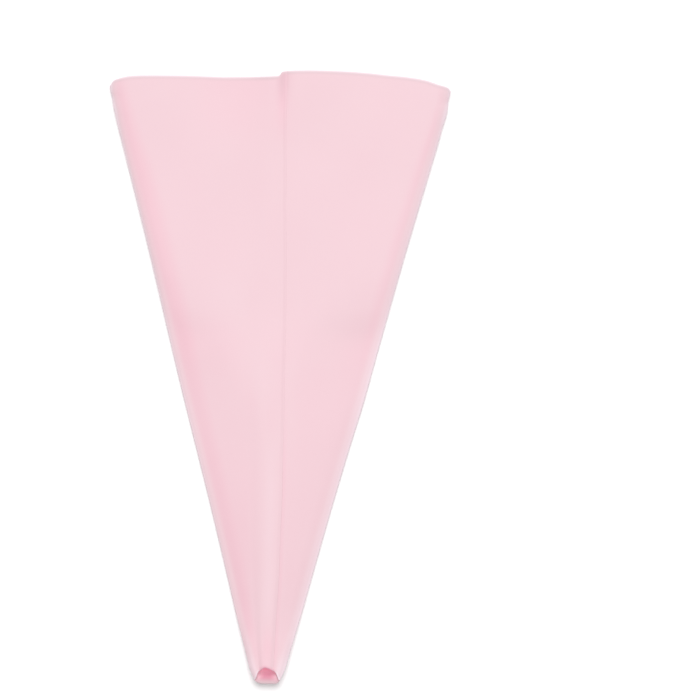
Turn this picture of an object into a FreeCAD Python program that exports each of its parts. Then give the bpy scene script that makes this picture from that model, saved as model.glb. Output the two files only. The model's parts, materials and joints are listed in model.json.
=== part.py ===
import FreeCAD, Part
import math
import os
import Sketcher

# Piping bag lying flat on its back ply, empty.
# +X runs across the flat width, +Y from the nozzle tip to the mouth, +Z up.
# The origin is under the middle of the bag, on the surface that it lies on. Millimetres.
#
# The bag is one sheet of soft film, rolled into a flat cone whose two raw edges overlap in a
# lap down the front: the left ply lies on the right one, with a bond strip between them.
# The mouth end folds back over the front as a cuff. The fold line divides the film and the
# bond strip into a bag part and a cuff part, which are the two sides of the fold's hinge.

SIZES = [
    ("bag_length", 305, "tip to the highest point of the mouth"),
    ("flat_width", 170, "widest flat width, just below the mouth corners"),
    ("tip_width", 14, "flat width at the cut tip"),
    ("shoulder", 293, "distance from the tip to the widest point"),
    ("film", 0.6, "film thickness"),
    ("fold_flat", 0.02, "half of the straight left between a side fold's two roundings"),
    ("ply_height", 7, "height of the flat bag outside the lap"),
    ("bond", 0.15, "bond thickness in the lap"),
    ("lap_left", 2.5, "hidden raw edge, left of the middle"),
    ("lap_right", 4.5, "visible raw edge, right of the middle"),
    ("jog", 0.9, "width over which the upper ply steps up on to the lap"),
    ("bond_inset", 0.3, "bond strip's distance from each raw edge"),
    ("tip_slant", 8, "upper tip lip's distance behind the lower lip"),
    ("left_drop", 4.4, "left lobe and back ply of the mouth, below the right lobe's top"),
    ("lobe_radius", 400, "mouth edge radius of the right lobe"),
    ("lobe_middle", 15, "right lobe's highest point, right of the middle"),
    ("corner", 7.5, "mouth corner radius"),
    ("cuff_length", 85, "fold line to the mouth"),
    ("fold_gap", 0.3, "clearance between the two parts at the fold line"),
    ("over", 2, "how far a cutting outline runs past what it cuts"),
]

doc = FreeCAD.newDocument("piping_bag")
sizes = doc.addObject("Spreadsheet::Sheet", "sizes")
for row, (alias, number, meaning) in enumerate(SIZES, start=1):
    sizes.set(f"A{row}", alias)
    sizes.set(f"B{row}", str(number))
    sizes.set(f"C{row}", meaning)
    sizes.setAlias(f"B{row}", alias)
doc.recompute()

# Places that follow from the sheet, as expressions. The middle of the bag is at y = 0.
TIP_Y = "(-sizes.bag_length / 2)"
MOUTH_Y = "(sizes.bag_length / 2)"
LEFT_LOBE_Y = f"({MOUTH_Y} - sizes.left_drop)"
BODY_END_Y = f"({MOUTH_Y} - sizes.cuff_length - sizes.fold_gap / 2)"
CUFF_START_Y = f"({MOUTH_Y} - sizes.cuff_length + sizes.fold_gap / 2)"
CORNER_X = "(sizes.flat_width / 2 - sizes.corner)"
RIGHT_CORNER_Y = (
    f"({MOUTH_Y} - sizes.lobe_radius"
    f" + sqrt(sizes.lobe_radius ^ 2 - ({CORNER_X} - sizes.lobe_middle) ^ 2))"
)
LAP_LOBE_Y = (
    f"({MOUTH_Y} - sizes.lobe_radius"
    " + sqrt(sizes.lobe_radius ^ 2 - (sizes.lap_right - sizes.lobe_middle) ^ 2))"
)


def value(expression):
    """The number that an expression on the sheet gives."""
    return float(sizes.evalExpression(expression))


def half_width(y):
    """Half of the flat width at y, which grows evenly from the tip to the shoulder."""
    slope = "((sizes.flat_width - sizes.tip_width) / 2 / sizes.shoulder)"
    return f"(sizes.tip_width / 2 + ({y} - {TIP_Y}) * {slope})"


def new_sketch(body, name, role, offset="0"):
    """A sketch on one of the body's own origin planes, moved along that plane's normal."""
    sketch = body.newObject("Sketcher::SketchObject", name)
    plane = next(f for f in body.Origin.OriginFeatures if f.Role == role)
    sketch.AttachmentSupport = [(plane, "")]
    sketch.MapMode = "FlatFace"
    sketch.setExpression(".AttachmentOffset.Base.z", offset)
    return sketch


def fix(sketch, kind, items, expression):
    """Adds one dimension to a sketch and binds it to the sheet."""
    index = sketch.addConstraint(Sketcher.Constraint(kind, *items, value(expression)))
    sketch.setExpression(f"Constraints[{index}]", expression)


def outline(body, name, role, corners, arcs=(), offset="0"):
    """A closed outline through corners, which are pairs of expressions.

    arcs lists the sides that are arcs, as (side number, radius expression). They all bulge to
    the left of the direction of travel."""
    sketch = new_sketch(body, name, role, offset)
    spots = [FreeCAD.Vector(value(x), value(y), 0) for x, y in corners]
    radii = dict(arcs)
    ends = []
    for side, start in enumerate(spots):
        stop = spots[(side + 1) % len(spots)]
        if side in radii:
            radius = value(radii[side])
            half = (stop - start) * 0.5
            left = FreeCAD.Vector(-half.y, half.x, 0).normalize()
            rise = radius - math.sqrt(max(radius**2 - half.Length**2, 0))
            geometry = Part.Arc(start, start + half + left * rise, stop)
        else:
            geometry = Part.LineSegment(start, stop)
        index = sketch.addGeometry(geometry)
        forward = (sketch.getPoint(index, 1) - start).Length < 1e-6
        ends.append((1, 2) if forward else (2, 1))
    for side in range(len(spots)):
        after = (side + 1) % len(spots)
        link = (side, ends[side][1], after, ends[after][0])
        sketch.addConstraint(Sketcher.Constraint("Coincident", *link))
    for side, (x, y) in enumerate(corners):
        fix(sketch, "DistanceX", (-1, 1, side, ends[side][0]), x)
        fix(sketch, "DistanceY", (-1, 1, side, ends[side][0]), y)
    for side, radius in arcs:
        fix(sketch, "Radius", (side,), radius)
    return sketch


def extrude(body, kind, name, sketch, length, both_ways=False):
    """A pad or pocket of a sketch: along +Y or +Z, or both ways."""
    before = 0 if body.Shape.isNull() else body.Shape.Volume
    feature = body.newObject(f"PartDesign::{kind}", name)
    feature.Profile = sketch
    feature.setExpression("Length", length)
    feature.Midplane = both_ways
    along_normal = sketch.AttachmentSupport[0][0].Role != "XZ_Plane"
    feature.Reversed = along_normal == (kind == "Pocket")
    doc.recompute()
    if abs(body.Shape.Volume - before) < 1:
        raise RuntimeError(f"{name} changed nothing")
    return feature


def long_edges(shape):
    """Names of the straight edges that run the whole length of a block."""
    box = shape.BoundBox
    reach = box.YLength - 1
    return [f"Edge{i}" for i, e in enumerate(shape.Edges, 1) if e.BoundBox.YLength > reach]


def end_faces(shape):
    """Names of the flat faces at the two ends of a block."""
    thin = 0.01
    return [f"Face{i}" for i, f in enumerate(shape.Faces, 1) if f.BoundBox.YLength < thin]


def film_tube(name, start, end):
    """The sheet between two places along the bag: flat tube, open lap and upper lap ply."""
    body = doc.addObject("PartDesign::Body", name)
    body.Label = name
    near, far = half_width(start), half_width(end)
    plan = outline(
        body,
        f"{name}_plan",
        "XY_Plane",
        [(f"-{near}", start), (f"-{far}", end), (far, end), (near, start)],
    )
    block = extrude(body, "Pad", f"{name}_block", plan, "sizes.ply_height")

    folds = body.newObject("PartDesign::Fillet", f"{name}_side_folds")
    folds.Base = (block, long_edges(block.Shape))
    folds.setExpression("Radius", "sizes.ply_height / 2 - sizes.fold_flat")
    doc.recompute()

    hollow = body.newObject("PartDesign::Thickness", f"{name}_hollow")
    hollow.Base = (folds, end_faces(folds.Shape))
    hollow.setExpression("Value", "sizes.film")
    hollow.Reversed = True
    doc.recompute()
    if hollow.Shape.Volume > folds.Shape.Volume / 2:
        raise RuntimeError(f"{name} isn't hollow")

    length = f"({end} - {start})"
    jog_x = "(-sizes.lap_left - sizes.jog)"
    slot_low = "(sizes.ply_height - sizes.film - sizes.bond)"
    slot_high = "(sizes.ply_height + sizes.bond)"
    slot = outline(
        body,
        f"{name}_slot_section",
        "XZ_Plane",
        [
            (jog_x, slot_low),
            (jog_x, slot_high),
            ("-sizes.lap_left", slot_high),
            ("-sizes.lap_left", slot_low),
        ],
        offset=f"-{start}",
    )
    extrude(body, "Pocket", f"{name}_slot", slot, length)

    under = "(sizes.ply_height + sizes.bond)"
    top = "(sizes.ply_height + sizes.bond + sizes.film)"
    upper_ply = outline(
        body,
        f"{name}_upper_ply_section",
        "XZ_Plane",
        [
            (jog_x, "(sizes.ply_height - sizes.film)"),
            (jog_x, "sizes.ply_height"),
            ("-sizes.lap_left", top),
            ("sizes.lap_right", top),
            ("sizes.lap_right", under),
            ("-sizes.lap_left", under),
        ],
        offset=f"-{start}",
    )
    extrude(body, "Pad", f"{name}_upper_ply", upper_ply, length)
    return body


def film_body():
    """The bag from its cut tip to the fold line."""
    body = film_tube("film_body", TIP_Y, BODY_END_Y)
    height = "(sizes.ply_height + sizes.bond + sizes.film)"
    run_out = f"(sizes.over * sizes.tip_slant / {height})"
    slant = outline(
        body,
        "tip_slant_side_view",
        "YZ_Plane",
        [
            (f"({TIP_Y} - {run_out})", "(-sizes.over)"),
            (f"({TIP_Y} + sizes.tip_slant + {run_out})", f"({height} + sizes.over)"),
            (f"({TIP_Y} - {run_out})", f"({height} + sizes.over)"),
        ],
    )
    extrude(body, "Pocket", "tip_slant_cut", slant, "sizes.flat_width", both_ways=True)
    return body


def film_cuff():
    """The bag from the fold line to its mouth, with a lobe on each side of the lap."""
    body = film_tube("film_cuff", CUFF_START_Y, f"({MOUTH_Y} + sizes.over)")
    side_x = "(sizes.flat_width / 2)"
    beyond_x = "(sizes.flat_width / 2 + 2 * sizes.over)"
    beyond_y = f"({MOUTH_Y} + 2 * sizes.over)"
    lobes = outline(
        body,
        "mouth_plan",
        "XY_Plane",
        [
            (f"-{beyond_x}", beyond_y),
            (f"-{beyond_x}", f"({LEFT_LOBE_Y} - sizes.corner)"),
            (f"-{side_x}", f"({LEFT_LOBE_Y} - sizes.corner)"),
            (f"-{CORNER_X}", LEFT_LOBE_Y),
            ("sizes.lap_right", LEFT_LOBE_Y),
            ("sizes.lap_right", LAP_LOBE_Y),
            (CORNER_X, RIGHT_CORNER_Y),
            (side_x, f"({RIGHT_CORNER_Y} - sizes.corner)"),
            (beyond_x, f"({RIGHT_CORNER_Y} - sizes.corner)"),
            (beyond_x, beyond_y),
        ],
        arcs=[(2, "sizes.corner"), (5, "sizes.lobe_radius"), (6, "sizes.corner")],
    )
    extrude(body, "Pocket", "mouth_cut", lobes, "(4 * sizes.ply_height)", both_ways=True)

    back = outline(
        body,
        "back_mouth_plan",
        "XY_Plane",
        [
            (f"-{beyond_x}", LEFT_LOBE_Y),
            (beyond_x, LEFT_LOBE_Y),
            (beyond_x, beyond_y),
            (f"-{beyond_x}", beyond_y),
        ],
    )
    extrude(body, "Pocket", "back_mouth_cut", back, "(sizes.ply_height / 2)")
    return body


def seam_bond(name, start, end):
    """The bond strip inside the lap, between two places along the bag."""
    strip = doc.addObject("Part::Box", name)
    strip.Label = name
    strip.setExpression("Length", "sizes.lap_left + sizes.lap_right - 2 * sizes.bond_inset")
    strip.setExpression("Width", f"{end} - {start}")
    strip.setExpression("Height", "sizes.bond")
    strip.setExpression(".Placement.Base.x", "sizes.bond_inset - sizes.lap_left")
    strip.setExpression(".Placement.Base.y", start)
    strip.setExpression(".Placement.Base.z", "sizes.ply_height")
    return strip


def main():
    pieces = [
        film_body(),
        film_cuff(),
        seam_bond("seam_bond_body", f"({TIP_Y} + sizes.tip_slant)", BODY_END_Y),
        seam_bond("seam_bond_cuff", CUFF_START_Y, LEFT_LOBE_Y),
    ]
    doc.recompute()
    for item in doc.Objects:
        if "Invalid" in item.State or "Error" in item.State:
            raise RuntimeError(f"{item.Name}: {item.State}")
    for piece in pieces:
        if piece.Shape.isNull() or not piece.Shape.isValid() or len(piece.Shape.Solids) != 1:
            raise RuntimeError(f"{piece.Label} is not one valid solid")
    os.makedirs("parts", exist_ok=True)
    for piece in pieces:
        piece.Shape.exportStep(f"parts/{piece.Label}.step")
        box = piece.Shape.optimalBoundingBox(False)
        spans = ", ".join(
            f"{low:.2f} to {high:.2f}"
            for low, high in ((box.XMin, box.XMax), (box.YMin, box.YMax), (box.ZMin, box.ZMax))
        )
        print(f"{piece.Label}: {piece.Shape.Volume:.1f} mm3, {spans}")


main()
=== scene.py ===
import json
import math

import bpy
import numpy as np
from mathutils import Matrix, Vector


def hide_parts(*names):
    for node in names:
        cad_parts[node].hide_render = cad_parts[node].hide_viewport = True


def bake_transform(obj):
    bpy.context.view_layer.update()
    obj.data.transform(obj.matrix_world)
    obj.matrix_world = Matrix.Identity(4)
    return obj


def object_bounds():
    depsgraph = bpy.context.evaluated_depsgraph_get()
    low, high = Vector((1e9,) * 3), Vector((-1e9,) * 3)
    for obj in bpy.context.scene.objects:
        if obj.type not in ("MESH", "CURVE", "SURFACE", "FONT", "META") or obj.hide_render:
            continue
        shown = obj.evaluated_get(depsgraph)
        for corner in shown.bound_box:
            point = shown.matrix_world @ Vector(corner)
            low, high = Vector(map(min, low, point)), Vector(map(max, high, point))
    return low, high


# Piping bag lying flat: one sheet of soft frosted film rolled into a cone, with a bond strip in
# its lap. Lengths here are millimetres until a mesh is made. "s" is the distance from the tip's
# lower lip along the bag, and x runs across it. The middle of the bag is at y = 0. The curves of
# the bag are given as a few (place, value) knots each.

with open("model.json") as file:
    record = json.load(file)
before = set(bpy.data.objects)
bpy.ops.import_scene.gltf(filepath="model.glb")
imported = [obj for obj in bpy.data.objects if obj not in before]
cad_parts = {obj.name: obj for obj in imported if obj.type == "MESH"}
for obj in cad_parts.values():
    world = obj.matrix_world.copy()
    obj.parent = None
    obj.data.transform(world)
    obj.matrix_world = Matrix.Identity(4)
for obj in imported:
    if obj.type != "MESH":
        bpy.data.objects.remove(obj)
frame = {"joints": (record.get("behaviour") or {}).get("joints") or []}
cad_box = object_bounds()

MM = 0.001
LENGTH = (cad_box[1].y - cad_box[0].y) / MM
HALF_FLAT = (cad_box[1].x - cad_box[0].x) / 2 / MM
FOLD = frame["joints"][0]
FOLD_Y = FOLD["pos_m"][1] / MM
FOLD_S = FOLD_Y + LENGTH / 2

FOLD_LENGTH = 9.0  # length of film that bends when the cuff folds
FILM = 0.6  # film thickness
BOND = 0.15  # bond thickness in the lap
REST_GAP = 0.03  # the back ply's clearance from the floor
TIP_HALF = 7.05  # half of the flat width at the tip
SHOULDER = 293.0  # distance from the tip to the widest point
CORNER = 2.3  # mouth corner radius
TIP_SLANT = 8.6  # the upper tip lip lies this far behind the lower one
MOUTH_RAISE = 0.35  # added to the mouth edge's curves
BACK_REACH = 16.0  # width over which the back ply's mouth edge leaves the front's at the folds
LAP_MARGIN = 1.5  # the lower ply's lap columns start this far outside the visible raw edge
RAW_EDGE = 0.12  # how far the upper ply's thinned raw edge sinks towards the lower ply
FILM_EDGE = 0.08  # how far the film's cut edges round outwards
BOND_EDGE = 0.03  # the same for the bond
BOND_INSET = 1.2  # the bond's distance from each raw edge
BOND_END = 300.8  # distance from the tip to the bond's mouth end
BOND_FILL = 0.8  # how much of the gap between the plies the bond fills

ROWS = 216
MOUTH_ROW = 300.0  # the last row's distance before it follows the mouth edge
TIP_ROWS = 36.0  # length over which the rows take on the tip's cut
MOUTH_ROWS = 45.0  # length over which they take on the mouth edge


# ---------------------------------------------------------------- small curve tools


def step(low, high, value):
    """0 below low, 1 above high, smooth between."""
    t = np.clip((value - low) / (high - low), 0, 1)
    return t * t * (3 - 2 * t)


def bump(middle, reach, value):
    """A soft hill of height 1 around middle."""
    return np.exp(-(((value - middle) / reach) ** 2))


def through(value, *knots):
    """A smooth curve through given (place, height) knots: level beyond its ends, and with
    no overshoot between them."""
    at = np.array([k[0] for k in knots], float)
    up = np.array([k[1] for k in knots], float)
    rise = np.diff(up) / np.diff(at)
    slope = np.zeros(len(at))
    turning = rise[:-1] * rise[1:] <= 0
    both = np.where(turning, 1, rise[:-1] + rise[1:])
    slope[1:-1] = np.where(turning, 0, 2 * rise[:-1] * rise[1:] / both)
    v = np.clip(value, at[0], at[-1])
    i = np.clip(np.searchsorted(at, v, side="right") - 1, 0, len(at) - 2)
    wide = at[i + 1] - at[i]
    t = (v - at[i]) / wide
    return (
        up[i] * (1 + 2 * t) * (1 - t) ** 2
        + slope[i] * wide * t * (1 - t) ** 2
        + up[i + 1] * t * t * (3 - 2 * t)
        + slope[i + 1] * wide * t * t * (t - 1)
    )


# ---------------------------------------------------------------- the bag's form


def half_width(s):
    """Half of the flat width to the film's middle, drawn in at the soft tip, not quite straight."""
    even = TIP_HALF + s * (HALF_FLAT - TIP_HALF) / SHOULDER - FILM / 2
    tip = 1.5 * (1 - np.clip(s / 9, 0, 1)) ** 1.5
    dent = 0.6 * bump(288, 9, s)
    wave = 0.18 * np.sin(s / 21 + 0.6) * step(10, 40, s)
    return np.minimum(even, HALF_FLAT - FILM / 2) - tip - dent + wave


def fold_reach(s):
    """How far in from the outline a side fold is rounded."""
    return through(s, (0, 2.2), (20, 4.0), (60, 8.0), (110, 9.5), (170, 8.5), (230, 7.0))


def lap_edge(s):
    """x of the upper ply's raw edge, which is the line seen down the front."""
    edge = through(
        s, (0, 2.8), (30, 3.8), (60, 4.8), (105, 5.4), (190, 5.2), (240, 4.0), (302, 3.1)
    )
    return edge + 0.08 * np.sin(s / 6.5)


def lap_start(s):
    """x of the lower ply's raw edge, hidden under the upper ply."""
    return through(
        s, (0, -1.0), (15, -2.2), (45, -3.1), (200, -3.0), (260, -2.2), (290, -1.1), (303, -0.5)
    )


def lap_rise(s):
    """Width over which the upper ply steps up on to the lap."""
    return through(s, (0, 2.3), (30, 4.0), (60, 6.0), (110, 9.0), (160, 12.0), (302, 14.0))


def lap_film(s):
    """The weld presses both plies thinner in the lap."""
    return through(s, (0, 0.5), (60, 0.42), (302, 0.36))


def feather(x, s):
    """How far the upper ply thins out into the lower one at its raw edge, from 0 to 1."""
    return through(s, (0, 0.6), (90, 0.6), (140, 0.93)) * (1 - step(0.0, 1.8, lap_edge(s) - x))


def crown_middle(s):
    """x of the middle of the raised part."""
    return through(s, (0, -0.6), (60, 0.8), (120, 0.0), (150, -4.0), (176, -7.0), (200, 0.0))


def front_height(x, s):
    """Height of the front ply's middle, before its sides round down into the folds. The narrow
    end is raised: level about its middle and sloping down at both sides."""
    high = through(
        s,
        (0, 9.0),
        (10, 8.3),
        (28, 7.2),
        (50, 6.9),
        (95, 6.5),
        (130, 5.9),
        (160, 5.2),
        (190, 4.5),
        (240, 4.3),
        (305, 4.7),
    )
    drop = through(
        s, (0, 1.6), (15, 2.0), (40, 3.2), (100, 3.0), (150, 2.4), (172, 1.7), (188, 0.5), (205, 0)
    )
    level = through(
        s, (0, 0.5), (60, 2.5), (105, 4.0), (136, 8.0), (160, 16.0), (176, 23.0), (200, 34.0)
    )
    out = np.abs(x - crown_middle(s)) - level
    slope_width = np.maximum(half_width(s) - fold_reach(s) * 0.5 - level, 2.0)
    ridge = 1.6 + 0.02 * s
    ramp = (out + np.sqrt(out**2 + ridge**2)) / 2 / slope_width
    z = high - drop * np.minimum(ramp, 1.15)
    waves = (
        0.22 * np.sin(x / 17 + s / 41) * np.sin(s / 29 + 0.7)
        + 0.13 * np.sin(x / 8.5 - s / 33 + 1.1) * np.sin(s / 17)
    )
    z = z + waves * step(60, 150, s)
    z = z - 0.3 * bump(174, 9, s) * bump(-44, 14, x) - 0.25 * bump(171, 9, s) * bump(41, 12, x)
    mouth = step(262, 304, s)
    z = z + mouth * (0.5 * np.sin(x / 13 + 0.5) - 0.35 * bump(-38, 16, x) + 0.3 * bump(18, 14, x))
    return z - 0.7 * step(276, 303, s) * bump(1.5, 3.0, x)


def back_height(x, s):
    """Height of the back ply's middle, which lies on the surface and lifts at the tip."""
    lift = 5.4 * np.exp(-s / 14)
    sides = 0.35 * (np.abs(x) / half_width(s)) ** 4
    return REST_GAP + FILM / 2 + lift + sides


def fold_height(s):
    """Height of the outermost line of the side folds."""
    return through(s, (0, 6.1), (15, 4.1), (40, 2.6), (60, 2.1), (170, 2.1), (230, 2.3), (305, 2.4))


def left_mouth(x):
    """Mouth edge of the left front ply, as a distance from the tip."""
    return through(
        x,
        (-84.5, 298.5),
        (-82, 299.2),
        (-79.5, 299.9),
        (-76, 300.7),
        (-68, 301.3),
        (-42, 301.6),
        (-30, 301.4),
        (-20, 301.6),
        (-10, 302.0),
        (-4, 302.3),
        (-1.1, 302.6),
        (-0.4, 303.2),
        (0.4, 304.4),
        (1.1, 304.8),
        (3.2, 305.0),
    )


def right_mouth(x):
    """Mouth edge of the right front ply: a long arc, turned down a little at the lap."""
    return through(
        x,
        (-2.5, 302.2),
        (-1.1, 302.5),
        (-0.4, 303.1),
        (0.4, 304.3),
        (1.1, 304.8),
        (3.2, 305.1),
        (9, 305.5),
        (18, 305.7),
        (30, 305.6),
        (42, 305.1),
        (54, 304.1),
        (64, 303.3),
        (72, 302.1),
        (79, 300.0),
        (82.3, 299.2),
        (84.5, 298.8),
    )


def back_mouth(x):
    """Mouth edge of the back ply, which the front hides."""
    return 299.6 - 0.0006 * x**2 + 0.2 * np.sin(x / 11)


def corner_drop(x):
    """How far the mouth edge rounds down at the side folds."""
    past = np.clip(np.abs(x) - (HALF_FLAT - FILM / 2 - CORNER), 0, CORNER * 0.999)
    return (CORNER - np.sqrt(CORNER**2 - past**2)) * np.where(x > 0, 0.6, 0.9)


# ---------------------------------------------------------------- the sheet as a grid

FRONT_LEFT, BACK, FRONT_RIGHT = 0, 1, 2


def run(count, first, last, end=False):
    return np.linspace(first, last, count, endpoint=end)


def sheet_columns():
    """The sheet's columns from the upper raw edge round to the lower one, as (ply, zone, t)."""
    columns = []
    columns += [(FRONT_LEFT, "lap", t**1.6) for t in run(11, 0, 1)]
    columns += [(FRONT_LEFT, "rise", t**1.5) for t in run(9, 0, 1)]
    columns += [(FRONT_LEFT, "ply", t) for t in run(34, 0, 1)]
    columns += [(FRONT_LEFT, "fold", t) for t in run(11, 1, 0)]
    columns += [(BACK, "fold_left", t) for t in run(11, 0, 1)]
    columns += [(BACK, "ply", t) for t in run(56, 0, 1)]
    columns += [(BACK, "fold_right", t) for t in run(11, 1, 0)]
    columns += [(FRONT_RIGHT, "fold", t) for t in run(11, 0, 1)]
    columns += [(FRONT_RIGHT, "ply", t) for t in run(34, 0, 1)]
    columns += [(FRONT_RIGHT, "lap", t) for t in run(12, 0, 1, end=True)]
    return columns


def bulges(s):
    """How far the left and the right outline stand out from the even outline."""
    left = through(
        s, (265, 0), (281, 0.35), (286, 0.5), (289.5, 0.2), (292, -0.1), (294.5, 0.3), (298, 0.6)
    )
    right = through(
        s, (278, 0), (285, 0.5), (288, 0.45), (290, 0.0), (292.3, -0.6), (294.5, -0.4), (297.5, 0.1)
    )
    return left, right + 0.35 * bump(141, 16, s)


def place(column, s):
    """x, z and roundness of one column at distances s. Roundness is 0 on a fold's outline."""
    ply, zone, t = column
    wide, reach = half_width(s), fold_reach(s)
    level = np.ones_like(s)
    if zone.startswith("fold"):
        angle = t * math.pi / 2
        inside = reach * (1 - math.cos(angle))
        left = zone == "fold_left" or (zone == "fold" and ply == FRONT_LEFT)
        x = (inside - wide) if left else (wide - inside)
        level = level * math.sin(angle) ** 1.4
    elif ply == BACK:
        x = (wide - reach) * (2 * t - 1)
    elif ply == FRONT_RIGHT:
        far = lap_edge(s) + LAP_MARGIN
        if zone == "ply":
            x = (wide - reach) * (1 - t) + far * t
        else:
            x = far * (1 - t) + lap_start(s) * t
    elif zone == "lap":
        x = lap_edge(s) * (1 - t) + lap_start(s) * t
    elif zone == "rise":
        x = lap_start(s) - lap_rise(s) * t
    else:
        x = (lap_start(s) - lap_rise(s)) * (1 - t) - (wide - reach) * t
    middle = fold_height(s)
    if ply == BACK:
        z = middle - (middle - back_height(x, s)) * level
    else:
        z = middle + (front_height(x, s) - middle) * level
    if ply == FRONT_LEFT:
        start = lap_start(s)
        lift = step(start - lap_rise(s), start - 0.35, x)
        z = z + (lap_film(s) + BOND) * lift
        z = z - feather(x, s) * (lap_film(s) / 2 + RAW_EDGE)
    left, right = bulges(s)
    x = x - left * step(0.5, 1, -x / wide) + right * step(0.5, 1, x / wide)
    return x, z, level


def mouth_place(column):
    """Where a column ends at the mouth."""
    near = np.array([SHOULDER + 5.0])
    x = place(column, near)[0] * HALF_FLAT / half_width(near)
    if column[0] == FRONT_LEFT:
        edge = left_mouth(x)
    elif column[0] == FRONT_RIGHT:
        edge = right_mouth(x)
    else:
        edge = np.where(x < 0, left_mouth(x), right_mouth(x))
        edge = edge + (back_mouth(x) - edge) * step(0, BACK_REACH, HALF_FLAT - 0.5 - np.abs(x))
    return float((edge - corner_drop(x) + MOUTH_RAISE)[0])


def tip_place(column):
    """Where a column starts: the upper lip peaks well behind the lower one, and the cut drops
    steeply to it at both sides. x depends on the place of the cut, so it is found in steps."""
    cut = np.array([2.0])
    for _ in range(6):
        x = place(column, cut)[0]
        if column[0] == BACK:
            left = through(x, (-6.4, 2.2), (-5.9, 1.6), (-5.2, 1.0), (-4.2, 0.5), (-3.0, 0.25))
            right = through(x, (3.6, 0.25), (4.8, 0.45), (5.4, 0.8), (5.9, 1.3), (6.4, 1.9))
            new = np.where(x < 0, left, right)
        else:
            new = through(
                x,
                (-6.4, 2.2),
                (-5.9, 2.4),
                (-5.5, 3.2),
                (-5.0, 4.9),
                (-4.4, 6.1),
                (-3.0, 7.4),
                (-1.1, TIP_SLANT),
                (1.0, 8.0),
                (3.1, 6.9),
                (4.4, 5.8),
                (5.1, 4.3),
                (5.6, 2.9),
                (6.0, 2.2),
                (6.4, 1.9),
            )
        cut = (cut + new) / 2
    return float(cut[0])


def rows():
    """Distances of the rows, closest at the tip, the cuff's fold and the mouth."""
    s = np.linspace(0, MOUTH_ROW, 4001)
    closeness = 0.42 + 1.1 * np.exp(-s / 9) + 0.9 * np.exp((s - MOUTH_ROW) / 6)
    closeness = closeness + 2.4 * bump(FOLD_S + FOLD_LENGTH / 2, 6, s)
    total = np.concatenate([[0], np.cumsum((closeness[1:] + closeness[:-1]) / 2)])
    return np.interp(np.linspace(0, total[-1], ROWS), total, s)


def film_grid():
    """Middle surface of the film: points[column, row] and each point's x, s, ply and roundness.
    The rows run straight across the bag, and curve only near its two ends."""
    columns, along = sheet_columns(), rows()
    near_tip = 1 - step(0, TIP_ROWS, along)
    near_mouth = step(MOUTH_ROW - MOUTH_ROWS, MOUTH_ROW, along)
    points = np.zeros((len(columns), len(along), 3))
    facts = np.zeros((len(columns), len(along), 4))
    for i, column in enumerate(columns):
        first, last = tip_place(column), mouth_place(column)
        s = along + first * near_tip + (last - MOUTH_ROW) * near_mouth
        x, z, level = place(column, s)
        points[i] = np.stack([x, s - LENGTH / 2, z], axis=1)
        facts[i] = np.stack([x, s, np.full_like(s, column[0]), level], axis=1)
    return points, facts


def outward(points):
    """Unit normals of a grid, away from the bag's inside."""
    across = np.gradient(points, axis=0)
    along = np.gradient(points, axis=1)
    normal = np.cross(along, across)
    return normal / np.linalg.norm(normal, axis=2, keepdims=True)


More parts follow.
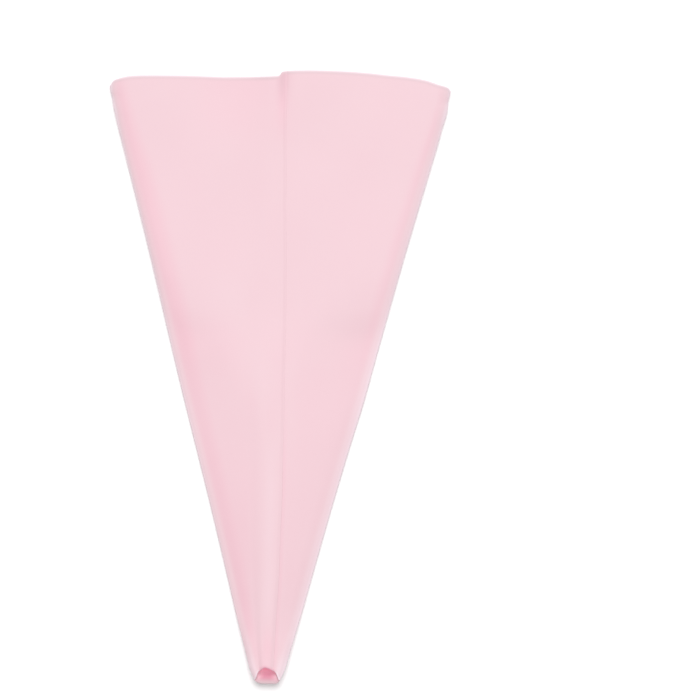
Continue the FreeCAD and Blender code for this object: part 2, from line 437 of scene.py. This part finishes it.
def shell(name, points, thickness, rim_out, values):
    """A closed sheet round a grid of middle points, with slightly rounded cut edges.

    thickness has one value per point. values are per-point attributes, each a pair for the outer
    and the inner face; the attribute "rim" is 1 on the cut edges."""
    wide, long = points.shape[:2]
    normal = outward(points)
    half = thickness[..., None] / 2
    layers = [points + normal * half, points - normal * half]
    grid = np.arange(wide * long).reshape(wide, long)
    quads = []

    def face(a, b, c, d):
        quads.append(np.stack([a, b, c, d], axis=-1).reshape(-1, 4))

    face(grid[:-1, :-1], grid[:-1, 1:], grid[1:, 1:], grid[1:, :-1])
    below = grid + wide * long
    face(below[:-1, :-1], below[1:, :-1], below[1:, 1:], below[:-1, 1:])

    # The cut edges: a loop right round the sheet, stepped out twice between the two faces.
    loop = [(i, 0) for i in range(wide)]
    loop += [(wide - 1, j) for j in range(1, long)]
    loop += [(i, long - 1) for i in range(wide - 2, -1, -1)]
    loop += [(0, j) for j in range(long - 2, 0, -1)]
    loop = np.array(loop)
    edge = points[loop[:, 0], loop[:, 1]]
    edge_normal = normal[loop[:, 0], loop[:, 1]]
    around = np.roll(edge, -1, axis=0) - np.roll(edge, 1, axis=0)
    out = np.cross(edge_normal, around)
    out = out / np.linalg.norm(out, axis=1, keepdims=True)
    inner = np.clip(loop, 1, [wide - 2, long - 2])
    away = edge - points[inner[:, 0], inner[:, 1]]
    out = out * np.sign(np.sum(out * away, axis=1, keepdims=True))
    bases = []
    extra = []
    for level in (0.55, -0.55):
        bases.append(2 * wide * long + len(extra) * len(loop))
        edge_half = half[loop[:, 0], loop[:, 1]]
        extra.append(edge + edge_normal * edge_half * level + out * rim_out)
    top = grid[loop[:, 0], loop[:, 1]]
    around_rim = np.arange(len(loop))
    rings = [top, around_rim + bases[0], around_rim + bases[1], top + wide * long]
    for upper, lower in zip(rings, rings[1:]):
        face(upper, np.roll(upper, -1), np.roll(lower, -1), lower)

    verts = np.concatenate([layer.reshape(-1, 3) for layer in layers] + extra) * MM
    faces = np.concatenate(quads)
    mesh = bpy.data.meshes.new(name)
    mesh.from_pydata(verts.tolist(), [], faces.tolist())
    mesh.validate()
    for key, grid_value in values.items():
        flat = grid_value[0].reshape(-1), grid_value[1].reshape(-1)
        rim = grid_value[0][loop[:, 0], loop[:, 1]]
        data = np.concatenate([*flat, rim, rim])
        attribute = mesh.attributes.new(key, "FLOAT", "POINT")
        attribute.data.foreach_set("value", data.astype(np.float32))
    rim = np.zeros(len(verts), np.float32)
    rim[2 * wide * long:] = 1
    mesh.attributes.new("rim", "FLOAT", "POINT").data.foreach_set("value", rim)
    mesh.polygons.foreach_set("use_smooth", np.ones(len(mesh.polygons), bool))
    mesh.update()
    piece = bpy.data.objects.new(name, mesh)
    bpy.context.scene.collection.objects.link(piece)
    return piece


# ---------------------------------------------------------------- where the pink is deeper, with painted light and shade


def pink_with_painted_light(facts, from_tip, mouth):
    """How deep the pink is made, with painted light and shade in it. It is palest where both plies
    lie flat on each other and deeper where the film stands clear of the ply below, painted shade
    that stands in for the translucent film. 0 is flat film, 1 a fold.
    from_tip and mouth are the distances to the cut edges."""
    x, s, ply, level = np.moveaxis(facts, 2, 0)
    from_left = x + half_width(s)
    from_right = half_width(s) - x

    # bands along the side folds, deeper pink partly from the doubled film and partly painted shade,
    # deeper on the left than the right; and paler film right at the outlines, painted light as if
    # lit through the thin fold
    reach = through(s, (0, 4), (60, 6), (150, 7), (250, 6), (300, 3))
    fade = through(s, (0, 5), (60, 8), (240, 9), (300, 8))
    deep_left = through(
        s, (0, 0.6), (30, 0.75), (60, 0.6), (85, 0.6), (110, 0.72), (290, 0.9), (304, 0.4)
    )
    deep_right = through(
        s, (0, 0.1), (60, 0.2), (150, 0.2), (200, 0.45), (250, 0.55), (288, 0.75), (304, 0.5)
    )
    left = deep_left * (1 - step(reach, reach + fade, from_left))
    right = deep_right * (1 - step(reach - 1, reach + 4, from_right))
    painted_light_left = through(s, (0, 1.6), (60, 2.2), (140, 2.4), (220, 3.2))
    painted_light_right = through(s, (100, 2.2), (220, 2.4), (290, 3.0))
    outline = painted_light_left * bump(0, 1.1, from_left) + painted_light_right * bump(0, 1.3, from_right)
    outline = outline + through(s, (190, 0.95), (230, 0.6)) * bump(2.3, 1.4, from_left)
    outline = outline + 0.75 * bump(2.5, 1.5, from_right)

    # the tip: pale sides, and an upper lip that is deep in its middle and pale at its ends; the
    # pale sides and ends are painted light that lifts the shade there
    tip = 0.6 * (1 - step(8, 18, s)) * step(2.5, 5.5, np.abs(x))
    upper_lip = 1.6 * (1 - step(0.2, 1.8, from_tip)) * (1 - step(3.2, 4.8, np.abs(x)))
    upper_lip = upper_lip - 2.4 * (1 - step(0.1, 0.9, from_tip)) * step(3.6, 4.8, np.abs(x))

    # the lower half, where the plies stand apart: painted shade in the gap between them, with its
    # V-shaped upper end
    side = np.abs(x - crown_middle(s))
    apart = 0.19 * (1 - step(150, 186, s)) * step(2, 9, side)
    sag_left = 0.3 * bump(172, 16, s) * (1 - step(10, 32, from_left)) * step(0, 8, from_left)
    sag_right = 0.3 * bump(170, 16, s) * (1 - step(8, 26, from_right)) * step(0, 6, from_right)
    # painted shade: the left slope of the lower half made deeper, as if turned from the light
    painted_left_shade = 0.35 * (1 - step(70, 130, s)) * step(-6, -14, x)

    # painted highlight: a pale ridge low down, which runs off to the left above the V
    crest = through(s, (40, -0.5), (108, -0.6), (138, -4), (156, -11), (186, -19), (210, -26))
    ridge = through(
        s, (20, 0.2), (45, -0.3), (95, -0.3), (120, -0.12), (140, -0.08), (190, -0.12), (212, 0)
    )
    ridge = ridge * bump(crest, through(s, (100, 2.6), (190, 7)), x)

    # soft patches next to the lap; a painted shadow as a darker line next to the upper ply's raw
    # edge; and a wedge at the mouth, deeper from the doubled film of the lap and from painted shade
    # in the notch
    near_lap = 0.2 * bump(130, 12, s) * bump(-1.5, 4, x)
    near_lap = near_lap - 0.2 * bump(136, 24, s) * bump(7.5, 4.5, x)
    near_lap = near_lap + 0.15 * bump(174, 10, s) * bump(-25, 14, x)
    near_lap = near_lap + 0.6 * bump(18, 8, s) * bump(0, 3, x)
    near_lap = near_lap - 0.35 * bump(18, 7, s) * bump(-9, 3, x)
    top_left = 0.28 * bump(-22, 22, x) * step(258, 284, s)
    painted_edge_shadow = 0.5 * bump(0.9, 0.9, x - lap_edge(s)) * (1 - step(105, 150, s)) * (ply == FRONT_RIGHT)
    wedge = 1.3 * step(266, 304, s) * bump(1.2, 2.4, x) + 0.2 * step(280, 300, s) * bump(-9, 14, x)

    front = np.maximum(np.maximum(left, right), apart) + sag_left + sag_right + painted_left_shade
    # painted light: paler film along the mouth edge, as if lit through its thin cut
    edge = 2.2 * (1 - step(0.1, 1.1, mouth))
    front = front + ridge + near_lap + top_left + painted_edge_shadow + wedge + upper_lip - outline - tip - edge
    back = 0.3 + 0.4 * (1 - level)
    return np.where(ply == BACK, back, front)


def inside_pink_with_painted_light(facts):
    """The same for the inner face: deepest along the middle of the tip, and paler at its sides,
    at its lower lip and further up the bag. The paler sides, and the paler band under the upper
    lip, are painted light that lifts the shade inside the tip."""
    x, s = facts[..., 0], facts[..., 1]
    deep = through(s, (14, 4.6), (40, 2.5), (70, 1.3)) - 0.9 * bump(6.8, 1.5, s)
    pale = through(np.abs(x), (0.9, 0), (2.6, 1.2), (3.6, 2.6), (4.6, 4.8), (5.6, 6.0))
    return deep - pale * through(s, (0.8, 0.2), (1.7, 0.45), (2.7, 0.7), (4.5, 1), (9, 1), (13, 0))


def painted_shade_outer(facts, mouth):
    """Painted shade: how much the film is greyed where it is seen edge on, along the folds and the
    cut edges, more on the left fold, in the notch at the mouth and over the whole back ply. mouth
    is the distance to the mouth edge."""
    x, s, ply = facts[..., 0], facts[..., 1], facts[..., 2]
    from_left = x + half_width(s)
    from_right = half_width(s) - x
    painted_grey = 0.22 * bump(0.9, 0.9, from_left) + 0.05 * (1 - step(0.6, 3.0, from_right))
    painted_grey = painted_grey + 0.3 * step(284, 303, s) * bump(0.8, 2.4, x)
    # painted shade: a greyed line along the mouth edge
    lip = (0.35 + 0.25 * bump(-7, 9, x)) * bump(0.8, 0.7, mouth)
    return np.where(ply == BACK, 0.2, np.maximum(painted_grey, lip))


def painted_shade_inner(facts):
    """The same painted shade for the inner face, which is greyed towards the tip's lower lip."""
    s = facts[..., 1]
    return through(s, (0, 0.95), (0.7, 0.85), (1.7, 0.58), (2.7, 0.22), (3.7, 0.05), (5.0, 0.0))


def painted_glow_inside(facts):
    """Painted light: emission on the tip's inner face that stands in for light coming through the
    front ply, strongest below its upper lip, where it lifts the shade.
    """
    s = facts[..., 1]
    return through(s, (4.5, 0), (5.7, 0.5), (6.7, 0.9), (7.7, 1.05), (12, 1.05), (24, 0))


# ---------------------------------------------------------------- materials


def new_material(name):
    material = bpy.data.materials.new(name)
    material.use_nodes = True
    nodes = material.node_tree.nodes
    nodes.clear()
    output = nodes.new("ShaderNodeOutputMaterial")
    shader = nodes.new("ShaderNodeBsdfPrincipled")
    material.node_tree.links.new(shader.outputs["BSDF"], output.inputs["Surface"])
    return material, nodes, material.node_tree.links, shader


def math_node(nodes, links, operation, *values):
    node = nodes.new("ShaderNodeMath")
    node.operation = operation
    for socket, value in zip(node.inputs, values):
        if isinstance(value, (int, float)):
            socket.default_value = value
        else:
            links.new(value, socket)
    return node.outputs["Value"]


def noise(nodes, links, scale, detail=2.0, stretch=(1, 1, 1)):
    """Noise in the piece's own space, so that it doesn't need an unwrap."""
    where = nodes.new("ShaderNodeTexCoord")
    mapping = nodes.new("ShaderNodeMapping")
    mapping.inputs["Scale"].default_value = stretch
    texture = nodes.new("ShaderNodeTexNoise")
    texture.inputs["Scale"].default_value = scale
    texture.inputs["Detail"].default_value = detail
    links.new(where.outputs["Object"], mapping.inputs["Vector"])
    links.new(mapping.outputs["Vector"], texture.inputs["Vector"])
    return texture.outputs["Fac"]


def named_value(nodes, key):
    node = nodes.new("ShaderNodeAttribute")
    node.attribute_type = "GEOMETRY"
    node.attribute_name = key
    return node.outputs["Fac"]


LIGHT = 1.18  # light falling on the flat film; the colours below are as seen in it
# the stops below 0 give the painted light at the outlines, the tip and the mouth edge
PINKS = (
    (-4.0, (1.150, 0.950, 1.030)),
    (-2.0, (0.990, 0.800, 0.865)),
    (0.0, (0.935, 0.666, 0.722)),
    (1.0, (0.938, 0.602, 0.677)),
    (4.5, (0.725, 0.276, 0.385)),
)
# colour of the painted shade at the folds and cut edges
PAINTED_GREY = (0.70, 0.55, 0.58)
# colour in which the tip's inner face glows by emission: painted light
PAINTED_GLOW = (0.32, 0.15, 0.19)


def film_material():
    """Frosted translucent film: pink that deepens at the folds and in the tip, with a fine matte
    grain. The pink carries painted light and shade, it is greyed as painted shade at the folds and
    cut edges, and the tip's inner face glows by emission as painted light."""
    material, nodes, links, shader = new_material("frosted_pink_film")
    cloud = noise(nodes, links, 38, 3)
    patch = noise(nodes, links, 140, 2)
    deep = named_value(nodes, "pink")
    rim = named_value(nodes, "rim")
    mottle = math_node(nodes, links, "MULTIPLY_ADD", cloud, 0.3, -0.18)
    mottle = math_node(nodes, links, "MULTIPLY_ADD", patch, 0.12, mottle)
    total = math_node(nodes, links, "ADD", deep, mottle)

    palest, deepest = PINKS[0][0], PINKS[-1][0]
    ramp = nodes.new("ShaderNodeValToRGB")
    stops = ramp.color_ramp.elements
    while len(stops) > 1:
        stops.remove(stops[-1])
    for i, (pink, seen) in enumerate(PINKS):
        stop = stops[0] if i == 0 else stops.new((pink - palest) / (deepest - palest))
        stop.position = (pink - palest) / (deepest - palest)
        stop.color = (*(part / LIGHT for part in seen), 1)
    spread = 1 / (deepest - palest)
    along_ramp = math_node(nodes, links, "MULTIPLY_ADD", total, spread, -palest * spread)
    links.new(along_ramp, ramp.inputs["Fac"])
    # painted shade: the pink is greyed by the shade attribute, and more on the cut edges
    painted_shade_mix = nodes.new("ShaderNodeMix")
    painted_shade_mix.data_type = "RGBA"
    painted_grey = math_node(nodes, links, "MULTIPLY_ADD", rim, 0.2, named_value(nodes, "painted_grey"))
    links.new(painted_grey, painted_shade_mix.inputs["Factor"])
    links.new(ramp.outputs["Color"], painted_shade_mix.inputs["A"])
    painted_shade_mix.inputs["B"].default_value = (*(part / LIGHT for part in PAINTED_GREY), 1)
    links.new(painted_shade_mix.outputs["Result"], shader.inputs["Base Color"])

    # painted light: the tip's inner face glows by emission
    shader.inputs["Emission Color"].default_value = (*PAINTED_GLOW, 1)
    links.new(named_value(nodes, "painted_glow"), shader.inputs["Emission Strength"])

    grain = noise(nodes, links, 2600, 2)
    rough = math_node(nodes, links, "MULTIPLY_ADD", grain, 0.14, 0.46)
    links.new(rough, shader.inputs["Roughness"])
    ripple = noise(nodes, links, 420, 3, (1, 0.5, 1))
    height = math_node(nodes, links, "MULTIPLY_ADD", ripple, 1.6, grain)
    relief = nodes.new("ShaderNodeBump")
    relief.inputs["Strength"].default_value = 0.35
    relief.inputs["Distance"].default_value = 0.00004
    links.new(height, relief.inputs["Height"])
    links.new(relief.outputs["Normal"], shader.inputs["Normal"])
    shader.inputs["Specular IOR Level"].default_value = 0.35
    return material


def bond_material():
    """The weld in the lap: the same film melted clear, so it is glossier and a little deeper."""
    material, nodes, links, shader = new_material("pink_weld")
    streak = noise(nodes, links, 300, 2, (1, 0.2, 1))
    mix = nodes.new("ShaderNodeMix")
    mix.data_type = "RGBA"
    mix.inputs["A"].default_value = (0.80, 0.52, 0.60, 1)
    mix.inputs["B"].default_value = (0.76, 0.42, 0.52, 1)
    links.new(streak, mix.inputs["Factor"])
    links.new(mix.outputs["Result"], shader.inputs["Base Color"])
    rough = math_node(nodes, links, "MULTIPLY_ADD", streak, 0.2, 0.25)
    links.new(rough, shader.inputs["Roughness"])
    return material


# ---------------------------------------------------------------- pieces


def make_film():
    points, facts = film_grid()
    from_tip = facts[..., 1] - facts[:, :1, 1]
    mouth = facts[:, -1:, 1] - facts[..., 1]
    pink = (pink_with_painted_light(facts, from_tip, mouth), inside_pink_with_painted_light(facts))
    painted_grey = (painted_shade_outer(facts, mouth), painted_shade_inner(facts))
    painted_glow = (np.zeros_like(pink[0]), painted_glow_inside(facts))
    x, s, ply, level = np.moveaxis(facts, 2, 0)
    in_lap = step(-4.0, 0.0, x - lap_start(s)) * (1 - step(0.0, 3.0, x - lap_edge(s)))
    thickness = FILM - (FILM - lap_film(s)) * in_lap * (ply != BACK)
    thickness = thickness * (1 - feather(x, s) * (ply == FRONT_LEFT))
    thickness = thickness * (0.6 + 0.4 * step(0, 0.4, level))
    film = shell("film", points, thickness, FILM_EDGE, {"pink": pink, "painted_grey": painted_grey, "painted_glow": painted_glow})
    film.data.materials.append(film_material())
    return film


def make_bond():
    """The bond strip between the two plies of the lap, from the tip's upper lip to the mouth."""
    s = np.linspace(TIP_SLANT + 1.0, BOND_END, 150)
    strip = []
    for t in np.linspace(0, 1, 7):
        x = (lap_edge(s) - BOND_INSET) * (1 - t) + (lap_start(s) + BOND_INSET) * t
        z = front_height(x, s) + (lap_film(s) + BOND) / 2
        strip.append(np.stack([x, s - LENGTH / 2, z], axis=1))
    points = np.array(strip)
    thickness = np.full(points.shape[:2], BOND * BOND_FILL)
    bond = shell("seam_bond", points, thickness, BOND_EDGE, {})
    bond.data.materials.append(bond_material())
    return bond


# ---------------------------------------------------------------- floor, light and camera


def make_floor():
    mesh = bpy.data.meshes.new("floor")
    reach = 3.0
    corners = [(-reach, -reach, 0), (reach, -reach, 0), (reach, reach, 0), (-reach, reach, 0)]
    mesh.from_pydata(corners, [], [(0, 1, 2, 3)])
    floor = bpy.data.objects.new("floor", mesh)
    bpy.context.scene.collection.objects.link(floor)
    material, _, _, shader = new_material("white_floor")
    shader.inputs["Base Color"].default_value = (0.85, 0.85, 0.85, 1)
    shader.inputs["Emission Color"].default_value = (1, 1, 1, 1)
    shader.inputs["Emission Strength"].default_value = 0.14
    shader.inputs["Roughness"].default_value = 0.9
    shader.inputs["Specular IOR Level"].default_value = 0.1
    mesh.materials.append(material)


def make_light():
    """A bright even surround, and one large soft box high above the mouth end."""
    world = bpy.data.worlds.new("studio")
    bpy.context.scene.world = world
    world.use_nodes = True
    background = world.node_tree.nodes["Background"]
    background.inputs["Color"].default_value = (1, 1, 1, 1)
    background.inputs["Strength"].default_value = 0.5
    lamp = bpy.data.lights.new("soft_box", "AREA")
    lamp.shape = "DISK"
    lamp.size = 8.0
    lamp.energy = 1040.0
    box = bpy.data.objects.new("soft_box", lamp)
    bpy.context.scene.collection.objects.link(box)
    box.location = (0.2, 5.2, 10.0)
    box.rotation_euler = (-box.location).to_track_quat("-Z", "Y").to_euler()
    box.visible_camera = False


def make_camera():
    """Straight above, with the bag leaning a little to the right as it lies."""
    seen = 0.3490  # width of the view on the bag, in metres
    height = 1.6
    data = bpy.data.cameras.new("camera")
    data.sensor_width = 36
    data.lens = data.sensor_width * height / seen
    camera = bpy.data.objects.new("camera", data)
    bpy.context.scene.collection.objects.link(camera)
    camera.location = (0.0376, 0.0148, height + 0.004)
    camera.rotation_euler = (0, 0, math.radians(1.3))
    bpy.context.scene.camera = camera
    bpy.context.scene.view_settings.view_transform = "Standard"


make_camera()
make_floor()
make_light()

film = make_film()
bond = make_bond()

for piece in (film, bond):
    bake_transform(piece)
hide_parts("film_body", "film_cuff")
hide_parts("seam_bond_body", "seam_bond_cuff")
